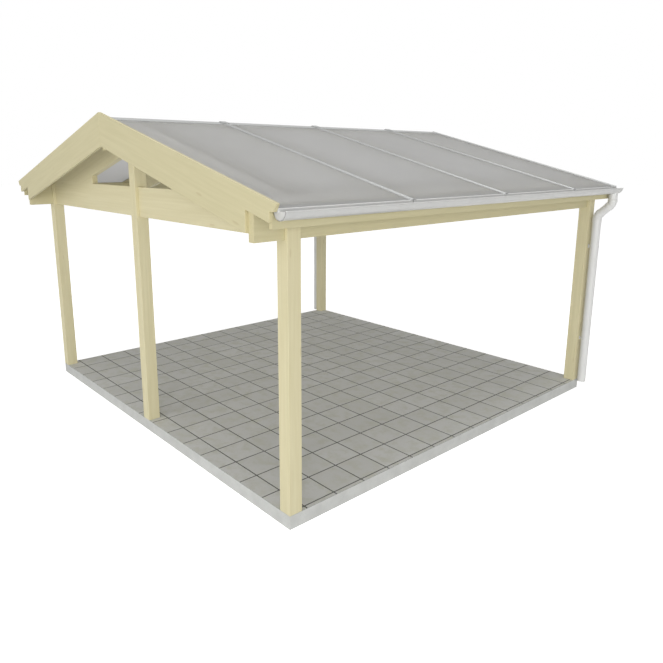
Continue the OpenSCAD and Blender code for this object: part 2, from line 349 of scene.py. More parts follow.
@dataclass(frozen=True)
class PressedTile(Finish):
    """Pressed concrete paving tile: pale grey, each tile a shade apart, with an olive cast where it is worn.

    The casts are soft and of no fixed shape, and the stone chips in the face show as fine grit.
    """

    pitch: float = 0.3
    first: tuple[float, float] = (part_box("floor_slab")[1].x - 40 * MM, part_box("floor_slab")[0].y + 169 * MM)
    pale: str = "dbdbd8"
    warm: str = "d2d2ce"
    worn: str = "cbcbbf"

    def shade(self, tree: bpy.types.NodeTree) -> bpy.types.Node:
        """Builds a tone for each tile, the worn clouds across it and the grit."""
        place = add(tree, "TexCoord")
        steps = add(
            tree,
            "Mapping",
            {
                "Vector": place.outputs["Object"],
                "Location": (-self.first[0] / self.pitch, -self.first[1] / self.pitch, 0.0),
                "Scale": (1 / self.pitch, 1 / self.pitch, 0.0),
            },
        )
        number = add(tree, "VectorMath", {0: steps.outputs[0]}, operation="FLOOR")
        tone = add(tree, "TexWhiteNoise", {"Vector": number.outputs[0]}, noise_dimensions="3D")
        # clouds of 120 mm that break off at the joints
        drift = add(tree, "VectorMath", {0: number.outputs[0], 1: (5.3, 7.7, 0.0)}, operation="MULTIPLY")
        shifted = add(tree, "VectorMath", {0: steps.outputs[0], 1: drift.outputs[0]}, operation="ADD")
        cloud = add(
            tree, "TexNoise", {"Vector": shifted.outputs[0], "Scale": 2.4, "Detail": 5.0, "Roughness": 0.62}
        )
        wear = add(
            tree,
            "MapRange",
            {"Value": cloud.outputs[0], "From Min": 0.40, "From Max": 0.72, "To Min": 0.0, "To Max": 0.85},
            interpolation_type="SMOOTHSTEP",
        )
        grit = add(tree, "TexNoise", {"Vector": place.outputs["Object"], "Scale": 170.0, "Detail": 2.0})
        own = add(
            tree,
            "Mix",
            {"Factor": tone.outputs["Value"], 6: linear(self.pale), 7: linear(self.warm)},
            data_type="RGBA",
        )
        face = add(
            tree,
            "Mix",
            {"Factor": wear.outputs[0], 6: own.outputs[2], 7: linear(self.worn)},
            data_type="RGBA",
        )
        speck = add(tree, "Math", {0: grit.outputs[0], 1: 0.10, 2: 0.95}, operation="MULTIPLY_ADD")
        colour = add(tree, "VectorMath", {0: face.outputs[2], "Scale": speck.outputs[0]}, operation="SCALE")
        rough = add(tree, "MapRange", {"Value": cloud.outputs[0], "To Min": 0.70, "To Max": 0.9})
        sandy = add(tree, "Bump", {"Height": grit.outputs[0], "Strength": 0.2, "Distance": 0.8 * MM})
        return add(
            tree,
            "BsdfPrincipled",
            {
                "Base Color": colour.outputs[0],
                "Roughness": rough.outputs[0],
                "Normal": sandy.outputs[0],
                "IOR": 1.5,
            },
        )


@dataclass(frozen=True)
class OpalMultiwall(Finish):
    """Extruded opal polycarbonate: an even grey sheet that lets a soft light through to its underside.

    Its inner walls show as faint lines down the slope.
    """

    face: str = "aaaaa8"
    wall: str = "a2a2a0"
    glow: str = "f1f1f2"
    wall_spacing: float = 20 * MM
    through: float = 0.5

    def shade(self, tree: bpy.types.NodeTree) -> bpy.types.Node:
        """Builds the inner walls every 20 mm and a light film of dust in 400 mm drifts."""
        place = add(tree, "TexCoord")
        split = add(tree, "SeparateXYZ", {"Vector": place.outputs["Object"]})
        turns = add(
            tree, "Math", {0: split.outputs["Y"], 1: 2 * math.pi / self.wall_spacing}, operation="MULTIPLY"
        )
        wave = add(tree, "Math", {0: turns.outputs[0]}, operation="COSINE")
        line = add(
            tree,
            "MapRange",
            {"Value": wave.outputs[0], "From Min": 0.45, "From Max": 1.0, "To Min": 0.0, "To Max": 0.5},
            interpolation_type="SMOOTHSTEP",
        )
        dust = add(tree, "TexNoise", {"Vector": place.outputs["Object"], "Scale": 2.4, "Detail": 4.0})
        film = add(
            tree, "Math", {0: dust.outputs[0], 1: 0.45, 2: line.outputs[0]}, operation="MULTIPLY_ADD"
        )
        colour = add(
            tree,
            "Mix",
            {"Factor": film.outputs[0], 6: linear(self.face), 7: linear(self.wall)},
            data_type="RGBA",
        )
        rough = add(tree, "MapRange", {"Value": dust.outputs[0], "To Min": 0.34, "To Max": 0.50})
        skin = add(
            tree,
            "BsdfPrincipled",
            {"Base Color": colour.outputs[2], "Roughness": rough.outputs[0], "IOR": 1.58},
        )
        core = add(tree, "BsdfTranslucent", {"Color": linear(self.glow)})
        return add(tree, "MixShader", {0: self.through, 1: skin.outputs[0], 2: core.outputs[0]})


@dataclass(frozen=True)
class AnodisedAluminium(Finish):
    """Extruded aluminium, natural anodised: pale, satin, with the die's fine lines along it."""

    tone: str = "a9aaa9"
    die_line: tuple[float, float, float] = (3.0, 420.0, 420.0)

    def shade(self, tree: bpy.types.NodeTree) -> bpy.types.Node:
        """Builds the die lines, 2.5 mm apart, on a satin metal."""
        place = add(tree, "TexCoord")
        along = add(
            tree, "VectorMath", {0: place.outputs["Object"], 1: self.die_line}, operation="MULTIPLY"
        )
        lines = add(tree, "TexNoise", {"Vector": along.outputs[0], "Scale": 1.0, "Detail": 2.0})
        shade = add(tree, "MapRange", {"Value": lines.outputs[0], "To Min": 0.96, "To Max": 1.0})
        colour = add(
            tree, "VectorMath", {0: linear(self.tone)[:3], "Scale": shade.outputs[0]}, operation="SCALE"
        )
        rough = add(tree, "MapRange", {"Value": lines.outputs[0], "To Min": 0.46, "To Max": 0.60})
        return add(
            tree,
            "BsdfPrincipled",
            {"Base Color": colour.outputs[0], "Metallic": 1.0, "Roughness": rough.outputs[0]},
        )


@dataclass(frozen=True)
class PowderCoat(Finish):
    """Thin aluminium channel under a pale grey powder coat: satin, with a faint orange peel."""

    tone: str = "dadad8"

    def shade(self, tree: bpy.types.NodeTree) -> bpy.types.Node:
        """Builds the coat and its orange peel, 2 mm across."""
        place = add(tree, "TexCoord")
        peel = add(tree, "TexNoise", {"Vector": place.outputs["Object"], "Scale": 480.0, "Detail": 1.0})
        rough = add(tree, "MapRange", {"Value": peel.outputs[0], "To Min": 0.42, "To Max": 0.50})
        skin = add(tree, "Bump", {"Height": peel.outputs[0], "Strength": 0.1, "Distance": 0.1 * MM})
        return add(
            tree,
            "BsdfPrincipled",
            {
                "Base Color": linear(self.tone),
                "Roughness": rough.outputs[0],
                "Normal": skin.outputs[0],
                "IOR": 1.5,
            },
        )


@dataclass(frozen=True)
class RainwaterPlastic(Finish):
    """Extruded uPVC for rainwater goods: pale grey, smooth, with a soft shine and a little dust."""

    tone: str = "c9c9c7"
    dusty: str = "bdbdba"

    def shade(self, tree: bpy.types.NodeTree) -> bpy.types.Node:
        """Builds the shine, and dust in streaks that run down."""
        place = add(tree, "TexCoord")
        run = add(
            tree, "VectorMath", {0: place.outputs["Object"], 1: (14.0, 14.0, 2.5)}, operation="MULTIPLY"
        )
        dust = add(tree, "TexNoise", {"Vector": run.outputs[0], "Scale": 1.0, "Detail": 4.0})
        film = add(
            tree,
            "MapRange",
            {"Value": dust.outputs[0], "From Min": 0.45, "From Max": 0.8, "To Min": 0.0, "To Max": 0.5},
        )
        colour = add(
            tree,
            "Mix",
            {"Factor": film.outputs[0], 6: linear(self.tone), 7: linear(self.dusty)},
            data_type="RGBA",
        )
        rough = add(tree, "MapRange", {"Value": dust.outputs[0], "To Min": 0.26, "To Max": 0.40})
        return add(
            tree,
            "BsdfPrincipled",
            {"Base Color": colour.outputs[2], "Roughness": rough.outputs[0], "IOR": 1.54},
        )


@dataclass(frozen=True)
class GalvanisedSteel(Finish):
    """Hot-dip galvanised steel plate: dull silver with the zinc's 8 mm spangle."""

    bright: str = "b6babc"
    dull: str = "9da1a3"

    def shade(self, tree: bpy.types.NodeTree) -> bpy.types.Node:
        """Builds the spangle as flat patches of tone and roughness."""
        place = add(tree, "TexCoord")
        spangle = add(tree, "TexVoronoi", {"Vector": place.outputs["Object"], "Scale": 125.0})
        split = add(tree, "SeparateXYZ", {"Vector": spangle.outputs["Color"]})
        colour = add(
            tree,
            "Mix",
            {"Factor": split.outputs["X"], 6: linear(self.bright), 7: linear(self.dull)},
            data_type="RGBA",
        )
        rough = add(tree, "MapRange", {"Value": split.outputs["Y"], "To Min": 0.38, "To Max": 0.58})
        return add(
            tree,
            "BsdfPrincipled",
            {"Base Color": colour.outputs[2], "Metallic": 1.0, "Roughness": rough.outputs[0]},
        )


PINE = {
    grain: [StainedPine(f"pine_planed_stained_{grain.name.lower()}_{k}", grain, k) for k in range(3)]
    for grain in Grain
}
# Painted shade: the same stain made a shade darker for the barge boards, fascias and side beams, which take
# less light than the posts and beams
PINE_PAINTED_SHADE = {
    grain: [
        StainedPine(
            f"pine_planed_two_coats_{grain.name.lower()}_{k}", grain, k, "cec6a1", "c3bb93", "b3a57c"
        )
        for k in range(3)
    ]
    for grain in Grain
}
ENDS = {grain: SawnEnd(f"pine_end_sawn_{grain.name.lower()}", grain) for grain in Grain}
CONCRETE = CastConcrete("concrete_cast")
GROUT = CementJoint("cement_grout_brushed")
TILE = PressedTile("concrete_tile_pressed")
OPAL = OpalMultiwall("polycarbonate_opal_extruded")
ALUMINIUM_SLOPE = AnodisedAluminium("aluminium_anodised_down_slope", die_line=(3.0, 420.0, 60.0))
ALUMINIUM_EDGE = AnodisedAluminium("aluminium_anodised_edge_bar", "b8b9b8", (3.0, 420.0, 60.0))
ALUMINIUM_RIDGE = AnodisedAluminium("aluminium_anodised_along_ridge", die_line=(420.0, 3.0, 60.0))
COATED = PowderCoat("aluminium_powder_coated_channel")
UPVC = RainwaterPlastic("upvc_extruded_gutter")
UPVC_PIPE = RainwaterPlastic("upvc_extruded_pipe", "dbdbd9", "d1d1ce")
ZINC = GalvanisedSteel("steel_galvanised")


# --- shaping helpers ---


def lay(
    name: str,
    mesh: bpy.types.Mesh,
    finishes: list[Finish],
    stands_for: tuple[str, ...] = (),
) -> bpy.types.Object:
    """Puts a finished mesh into the scene as a piece of the frame.

    Args:
        name: the piece's name.
        mesh: its mesh, in the part's own frame.
        finishes: the finishes of its material slots, in order.
        stands_for: CAD nodes that the piece replaces.

    Returns:
        The new object.
    """
    for finish in finishes:
        mesh.materials.append(finish.material())
    piece = bpy.data.objects.new(name, mesh)
    bpy.context.scene.collection.objects.link(piece)
    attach(piece, BODY)
    if stands_for:
        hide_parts(*stands_for)
    log.info("laid %s", name)
    return piece


def mesh_from(name: str, shape: bmesh.types.BMesh, smooth: float | None = None) -> bpy.types.Mesh:
    """Turns a bmesh into a mesh with its faces outwards.

    Args:
        name: the mesh's name.
        shape: the bmesh, which is freed.
        smooth: the largest angle in degrees that is shaded smooth, or None for flat faces.

    Returns:
        The mesh.
    """
    bmesh.ops.recalc_face_normals(shape, faces=shape.faces)
    mesh = bpy.data.meshes.new(name)
    shape.to_mesh(mesh)
    shape.free()
    if smooth is not None:
        mesh.shade_smooth()
        mesh.set_sharp_from_angle(angle=math.radians(smooth))
    return mesh


def ease(
    shape: bmesh.types.BMesh,
    offset: float,
    segments: int = 2,
    sharper: float = 25.0,
    edges: list | None = None,
) -> None:
    """Bevels the outer edges of a shape.

    Args:
        shape: the bmesh.
        offset: the bevel's width.
        segments: its number of faces.
        sharper: edges that turn by more than this many degrees are bevelled.
        edges: the edges to look at, or None for all.
    """
    bmesh.ops.recalc_face_normals(shape, faces=shape.faces)
    chosen = [
        e
        for e in (edges or shape.edges)
        if len(e.link_faces) == 2 and e.calc_face_angle_signed(0.0) > math.radians(sharper)
    ]
    bmesh.ops.bevel(
        shape,
        geom=chosen,
        offset=offset,
        offset_type="OFFSET",
        affect="EDGES",
        segments=segments,
        profile=0.5,
        material=-1,
        clamp_overlap=True,
    )


def block(shape: bmesh.types.BMesh, low: tuple, high: tuple, offset: float = 0.0) -> list:
    """Adds a block, eased if an offset is given.

    Args:
        shape: the bmesh to add to.
        low: the lowest corner.
        high: the highest corner.
        offset: the width of the eased edges, or 0.

    Returns:
        The block's first vertices, before easing.
    """
    size = [b - a for a, b in zip(low, high)]
    centre = [(a + b) / 2 for a, b in zip(low, high)]
    made = bmesh.ops.create_cube(
        shape, size=1.0, matrix=Matrix.Translation(centre) @ Matrix.Diagonal((*size, 1.0))
    )
    verts = made["verts"]
    if offset:
        ease(shape, offset, 1, edges=list({e for v in verts for e in v.link_edges}))
    return verts


def chain(shape: bmesh.types.BMesh, points: list[tuple[float, float, float]], closed: bool = False) -> list:
    """Adds an outline as vertices joined by edges.

    Args:
        shape: the bmesh to add to.
        points: the corners in order.
        closed: whether the last corner joins the first.

    Returns:
        The new edges.
    """
    verts = [shape.verts.new(p) for p in points]
    pairs = list(zip(verts, verts[1:])) + ([(verts[-1], verts[0])] if closed else [])
    return [shape.edges.new(p) for p in pairs]


def drawn(
    shape: bmesh.types.BMesh,
    edges: list,
    along: tuple[float, float, float],
    capped: bool = True,
) -> list:
    """Draws an outline along a straight line, as an extruder does.

    Args:
        shape: the bmesh that holds the outline.
        edges: the outline's edges.
        along: the length and direction.
        capped: whether both ends of a closed outline are filled.

    Returns:
        The vertices at the far end.
    """
    made = bmesh.ops.extrude_edge_only(shape, edges=edges)["geom"]
    far = [g for g in made if isinstance(g, bmesh.types.BMVert)]
    bmesh.ops.translate(shape, vec=Vector(along), verts=far)
    if capped:
        bmesh.ops.contextual_create(shape, geom=edges)
        bmesh.ops.contextual_create(shape, geom=[g for g in made if isinstance(g, bmesh.types.BMEdge)])
    return far


def mirrored(shape: bmesh.types.BMesh) -> bmesh.types.BMesh:
    """Turns a right-hand shape into the left-hand one, in place, and returns it."""
    bmesh.ops.scale(shape, vec=(-1.0, 1.0, 1.0), verts=shape.verts)
    bmesh.ops.reverse_faces(shape, faces=shape.faces)
    return shape


def lathe(
    shape: bmesh.types.BMesh,
    outline: list[tuple[float, float]],
    place: Matrix,
    steps: int = 40,
) -> None:
    """Turns an outline about its own Z axis and puts the result in place.

    Args:
        shape: the bmesh to add to.
        outline: radius and height of each corner of a closed outline.
        place: where the axis goes.
        steps: the number of faces round it.
    """
    ring = chain(shape, [(r, 0.0, h) for r, h in outline], closed=True)
    verts = list({v for e in ring for v in e.verts})
    made = bmesh.ops.spin(
        shape,
        geom=verts + ring,
        cent=(0, 0, 0),
        axis=(0, 0, 1),
        angle=2 * math.pi,
        steps=steps,
        use_merge=True,
        use_duplicate=False,
    )
    last = [g for g in made["geom_last"] if isinstance(g, bmesh.types.BMVert)]
    seen, todo = set(verts + last), list(verts + last)
    while todo:
        for e in todo.pop().link_edges:
            for v in e.verts:
                if v not in seen:
                    seen.add(v)
                    todo.append(v)
    bmesh.ops.remove_doubles(shape, verts=list(seen), dist=1e-6)
    bmesh.ops.transform(shape, matrix=place, verts=[v for v in seen if v.is_valid])


def bolt_head(shape: bmesh.types.BMesh, place: Matrix, across: float = 0.019, tall: float = 0.008) -> None:
    """Adds a hexagon nut on a round washer, standing on the XY plane of its place.

    Args:
        shape: the bmesh to add to.
        place: where it goes; its Z points away from the face.
        across: width over the flats.
        tall: height of the nut.
    """
    washer = bmesh.ops.create_cone(
        shape, cap_ends=True, segments=20, radius1=across, radius2=across * 0.97, depth=0.0025,
        matrix=place @ Matrix.Translation((0, 0, 0.00125)),
    )["verts"]
    nut = bmesh.ops.create_cone(
        shape,
        cap_ends=True,
        segments=6,
        radius1=across / math.sqrt(3),
        radius2=across / math.sqrt(3),
        depth=tall,
        matrix=place @ Matrix.Translation((0, 0, 0.0025 + tall / 2)),
    )["verts"]
    ease(shape, 0.0008, 1, edges=list({e for v in nut + washer for e in v.link_edges}))


# --- where things lie ---


@dataclass(frozen=True)
class Lie:
    """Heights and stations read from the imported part."""

    apex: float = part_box("roof_sheet_right_1")[1].z
    sheet_edge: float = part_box("roof_sheet_right_1")[1].x
    barge_back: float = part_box("ridge_cap")[0].y
    back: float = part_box("ridge_cap")[1].y
    seams: tuple[float, ...] = tuple(
        (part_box(f"glazing_bar_{k}")[0].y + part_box(f"glazing_bar_{k}")[1].y) / 2 for k in (1, 2, 3)
    )

    def over(self, x: float) -> float:
        """Returns the height of the sheets' top at a distance from the ridge."""
        return self.apex - RISE * abs(x)


LIE = Lie()


# --- the floor ---


@dataclass
class FloorSlab:
    """The cast slab with its pressed paving tiles."""

    nosing: float = 2.5 * MM
    rim: float = 1.5 * MM
    recess: float = 0.8 * MM
    joint: float = 11 * MM
    tile_edge: float = 0.6 * MM

    def build(self) -> None:
        """Builds the slab and its tiles."""
        low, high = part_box("floor_slab")
        self.cast(low, high)
        self.pave(low, high)

    def cast(self, low: Vector, high: Vector) -> None:
        """Casts the slab, with eased edges and a bed for the tiles.

        Args:
            low: the slab's lowest corner.
            high: its highest corner.
        """
        shape = bmesh.new()
        block(shape, low, high)
        ease(shape, self.nosing)
        shape.normal_update()
        top = [f for f in shape.faces if f.normal.z > 0.9 and f.calc_center_median().z > high.z - MM]
        bmesh.ops.inset_region(shape, faces=top, thickness=self.rim, use_even_offset=True)
        bmesh.ops.translate(shape, vec=(0, 0, -self.recess), verts=list({v for f in top for v in f.verts}))
        for face in top:
            face.material_index = 1
        lay("slab_cast", mesh_from("slab_cast", shape), [CONCRETE, GROUT], ("floor_slab",))

    def pave(self, low: Vector, high: Vector) -> None:
        """Lays the tiles, cut at the edges, with open joints between them.

        Args:
            low: the slab's lowest corner.
            high: its highest corner.
        """
        shape = bmesh.new()
        edge = self.nosing + self.rim - self.joint / 2
        made = bmesh.ops.create_grid(shape, x_segments=1, y_segments=1, size=0.5)["verts"]
        span = high - low
        bmesh.ops.transform(
            shape,
            matrix=Matrix.Translation(((low.x + high.x) / 2, (low.y + high.y) / 2, high.z))
            @ Matrix.Diagonal((span.x - 2 * edge, span.y - 2 * edge, 1, 1)),
            verts=made,
        )
        for axis, first in enumerate(TILE.first):
            normal = Vector((1, 0, 0)) if axis == 0 else Vector((0, 1, 0))
            for k in range(-20, 21):
                at = first + k * TILE.pitch
                if low[axis] + edge < at < high[axis] - edge:
                    geom = list(shape.verts) + list(shape.edges) + list(shape.faces)
                    bmesh.ops.bisect_plane(
                        shape, geom=geom, dist=1e-6, plane_co=normal * at, plane_no=normal
                    )
        borders = bmesh.ops.inset_individual(
            shape, faces=list(shape.faces), thickness=self.joint / 2, use_even_offset=True
        )["faces"]
        bmesh.ops.delete(shape, geom=borders, context="FACES")
        made = bmesh.ops.extrude_face_region(shape, geom=list(shape.faces))["geom"]
        sunk = [g for g in made if isinstance(g, bmesh.types.BMVert)]
        bmesh.ops.translate(shape, vec=(0, 0, -self.recess - MM), verts=sunk)
        ease(
            shape,
            self.tile_edge,
            1,
            edges=[e for e in shape.edges if all(v.co.z > high.z - 1e-5 for v in e.verts)],
        )
        lay("paving_tiles", mesh_from("paving_tiles", shape), [TILE])


# --- the timber ---


@dataclass
class TimberFrame:
    """Posts, beams, rafters and boards, planed all round with eased arrises."""

    arris: float = 2.5 * MM
    end_cosine: float = 0.8
    # boards that get the darker copy of the stain, which is painted shade
    painted_shade_boards: tuple[str, ...] = ("barge", "fascia", "side_beam")
    nodes: list[str] = field(
        default_factory=lambda: sorted(
            n
            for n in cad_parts
            if n.startswith(
                (
                    "post",
                    "side_beam",
                    "tie_beam",
                    "king",
                    "ridge_beam",
                    "gable",
                    "rafter",
                    "barge",
                    "fascia",
                ),
            )
        )
    )

    def grain_of(self, node: str) -> Grain:
        """Returns the direction of a board's fibres from its name."""
        if node.startswith(("post", "king")):
            return Grain.UPRIGHT
        if node.startswith("tie"):
            return Grain.ACROSS
        if node.startswith(("side", "ridge", "fascia")):
            return Grain.ALONG
        return Grain.LEFT_SLOPE if "left" in node else Grain.RIGHT_SLOPE

    def build(self) -> None:
        """Planes and stains every board."""
        for count, node in enumerate(self.nodes):
            grain = self.grain_of(node)
            shape = bmesh.new()
            shape.from_mesh(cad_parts[node].data)
            bmesh.ops.remove_doubles(shape, verts=shape.verts, dist=1e-5)
            bmesh.ops.dissolve_limit(
                shape, angle_limit=math.radians(0.5), verts=list(shape.verts), edges=list(shape.edges)
            )
            ease(shape, self.arris)
            turn = Matrix.Rotation(grain.value[1], 3, "Y") @ Matrix.Rotation(grain.value[2], 3, "Z")
            shape.normal_update()
            for face in shape.faces:
                face.material_index = 1 if abs((turn @ face.normal).x) > self.end_cosine else 0
            # the darker copy is painted shade for the boards that take less light
            stain = (PINE_PAINTED_SHADE if node.startswith(self.painted_shade_boards) else PINE)[grain][count % 3]
            lay(
                f"{node}_planed",
                mesh_from(f"{node}_planed", shape),
                [stain, ENDS[grain]],
                (node,),
            )


# --- the roof ---


@dataclass
class RoofCovering:
    """Sheets, glazing bars, edge profiles and the ridge cap."""

    closure_skin: float = 1.2

    def build(self) -> None:
        """Builds the whole covering."""
        self.dress_sheets()
        for k, y in enumerate(LIE.seams, 1):
            self.glazing_bar(k, y)
            self.saddle(k, y)
        self.back_edge()
        self.ridge_cap()
        for side in ("right", "left"):
            self.eave_closure(side)

    def dress_sheets(self) -> None:
        """Gives the sheets their finish."""
        for name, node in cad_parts.items():
            if name.startswith("roof_sheet"):
                node.data.materials.clear()
                node.data.materials.append(OPAL.material())
                log.info("dressed %s", name)

    def down_slopes(
        self, shape: bmesh.types.BMesh, outline: list[tuple[float, float]], reach: float, start: float = 0.0
    ) -> None:
        """Draws a profile down both slopes, mitred at the ridge if it starts there.

        Args:
            shape: an empty bmesh, or one whose pieces all stop short of the ridge.
            outline: distance along Y and height over the sheets of each corner.
            reach: how far from the ridge the profile ends.
            start: how far from the ridge it starts.
        """
        old = set(shape.verts)
        ring = chain(shape, [(start, y, LIE.over(start) + h) for y, h in outline], closed=True)
        run = reach - start
        far = drawn(shape, ring, (run, 0.0, -RISE * run), capped=False)
        ends = [e for e in {e for v in far for e in v.link_edges} if all(w in far for w in e.verts)]
        bmesh.ops.contextual_create(shape, geom=ends)
        if start > 0:
            bmesh.ops.contextual_create(shape, geom=ring)
        verts = [v for v in shape.verts if v not in old]
        edges = {e for v in verts for e in v.link_edges}
        faces = {f for v in verts for f in v.link_faces}
        bmesh.ops.mirror(
            shape, geom=[*verts, *edges, *faces], matrix=Matrix.Identity(4), merge_dist=1e-6, axis="X"
        )

    def across(self, y: float, half: list[tuple[float, float]]) -> list[tuple[float, float]]:
        """Completes a bar's profile from its half.

        Args:
            y: the bar's middle.
            half: distance from the middle and height of each corner, in millimetres.

        Returns:
            The whole outline, in metres.
        """
        right = [(y + a * MM, h * MM) for a, h in half]
        left = [(y - a * MM, h * MM) for a, h in reversed(half)]
        return right + left

    def glazing_bar(self, k: int, y: float) -> None:
        """Builds a bar: a pressed cap with a raised rib, its web between the sheets and an end cap.

        Args:
            k: the bar's number from the front.
            y: its middle.
        """
        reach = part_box(f"glazing_bar_{k}")[1].x
        half = [(30, 0.2), (30, 1.4), (26, 3.4), (12, 4.8), (8.5, 8.8), (6.5, 10)]
        cover = [(30.6, -1), (30.6, 2), (26.4, 4), (12.4, 5.5), (9, 9.4), (6.8, 10.6)]
        shape = bmesh.new()
        self.down_slopes(shape, self.across(y, half), reach - 2 * MM)
        self.down_slopes(shape, self.across(y, cover), reach, reach - 14 * MM)
        for sign in (1, -1):
            edge = LIE.sheet_edge - 7 * MM
            web = chain(
                shape,
                [
                    (0.0, y - 3.8 * MM, LIE.apex - 25 * MM),
                    (0.0, y - 3.8 * MM, LIE.apex + 1 * MM),
                    (sign * edge, y - 3.8 * MM, LIE.over(edge) + 1 * MM),
                    (sign * edge, y - 3.8 * MM, LIE.over(edge) - 25 * MM),
                ],
                closed=True,
            )
            drawn(shape, web, (0.0, 7.6 * MM, 0.0))
        name = f"glazing_bar_{k}_pressed"
        lay(name, mesh_from(name, shape, 40), [ALUMINIUM_SLOPE], (f"glazing_bar_{k}",))

    def saddle(self, k: int, y: float) -> None:
        """Covers the joint of a bar over the ridge with a small pressed saddle.

        Args:
            k: the bar's number from the front.
            y: its middle.
        """
        shape = bmesh.new()
        self.down_slopes(shape, self.across(y, [(38, 3), (38, 11), (30, 14)]), 62 * MM)
        ease(shape, 1.5 * MM, 2, 30)
        lay(f"ridge_saddle_{k}", mesh_from(f"ridge_saddle_{k}", shape, 40), [ALUMINIUM_SLOPE])

    def back_edge(self) -> None:
        """Builds the bar along the back edge, turned down over the ends of the sheets."""
        low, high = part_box("edge_bar_back")
        lip = high.y + 1.6 * MM
        outline = [
            (low.y, 0.2),
            (low.y, 4.3),
            (low.y + 1.2 * MM, 5.4),
            (high.y - 20 * MM, 6.9),
            (high.y - 17 * MM, 9.3),
            (high.y - 15 * MM, 10),
            (lip - 1.5 * MM, 10),
            (lip, 8.5),
            (lip, -27.5),
            (high.y, -27.5),
            (high.y, 0.2),
        ]
        shape = bmesh.new()
        self.down_slopes(shape, [(y, h * MM) for y, h in outline], high.x)
        made = mesh_from("edge_bar_back_pressed", shape, 40)
        lay("edge_bar_back_pressed", made, [ALUMINIUM_EDGE], ("edge_bar_back",))

    def ridge_cap(self) -> None:
        """Bends the ridge cap, with hemmed edges and a small crest."""
        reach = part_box("ridge_cap")[1].x
        shape = bmesh.new()
        outline = [
            (0.0, 4.0),
            (0.012, 3.6),
            (reach - 0.011, 2.0),
            (reach - 0.010, 3.8),
            (reach - 0.001, 3.8),
            (reach, 2.8),
            (reach, 0.3),
            (reach - 0.001, 0.1),
            (0.0, 0.1),
        ]
        points = [(x, LIE.barge_back, LIE.over(x) + h * MM) for x, h in outline]
        edges = chain(shape, points)
        drawn(shape, edges, (0.0, LIE.back - LIE.barge_back, 0.0), capped=False)
        geom = list(shape.verts) + list(shape.edges) + list(shape.faces)
        bmesh.ops.mirror(shape, geom=geom, matrix=Matrix.Identity(4), merge_dist=1e-6, axis="X")
        bmesh.ops.holes_fill(shape, edges=[e for e in shape.edges if e.is_boundary], sides=40)
        lay(
            "ridge_cap_bent",
            mesh_from("ridge_cap_bent", shape, 35),
            [ALUMINIUM_RIDGE],
            ("ridge_cap",),
        )

    def eave_closure(self, side: str) -> None:
        """Builds the channels that close the sheets' lower ends, one to a sheet, with a drip edge.

        Args:
            side: "right" or "left".
        """
        skin = 25 + self.closure_skin
        down = Vector((math.cos(PITCH), 0.0, -math.sin(PITCH)))
        up = Vector((math.sin(PITCH), 0.0, math.cos(PITCH)))
        corner = Vector((LIE.sheet_edge, 0.0, LIE.over(LIE.sheet_edge)))
        top, face = self.closure_skin, self.closure_skin + 0.4
        run = [
            (-8, top),
            (0.2, top),
            (face, 0.2),
            (face, -skin),
            (-22, -skin),
            (-22, -25),
            (0, -25),
            (0, 0),
            (-8, 0),
        ]
        lines = [LIE.barge_back, *LIE.seams, LIE.back]
        shape = bmesh.new()
        for k in range(4):
            y0 = lines[k] + (5 * MM if k else 1 * MM)
            y1 = lines[k + 1] - (5 * MM if k < 3 else 2 * MM)
            points = [corner + down * (a * MM) + up * (b * MM) + Vector((0, y0, 0)) for a, b in run]
            drawn(shape, chain(shape, [tuple(p) for p in points], closed=True), (0.0, y1 - y0, 0.0))
        if side == "left":
            mirrored(shape)
        name = f"eave_closure_{side}"
        lay(name, mesh_from(name, shape, 30), [COATED])


# --- rainwater goods ---


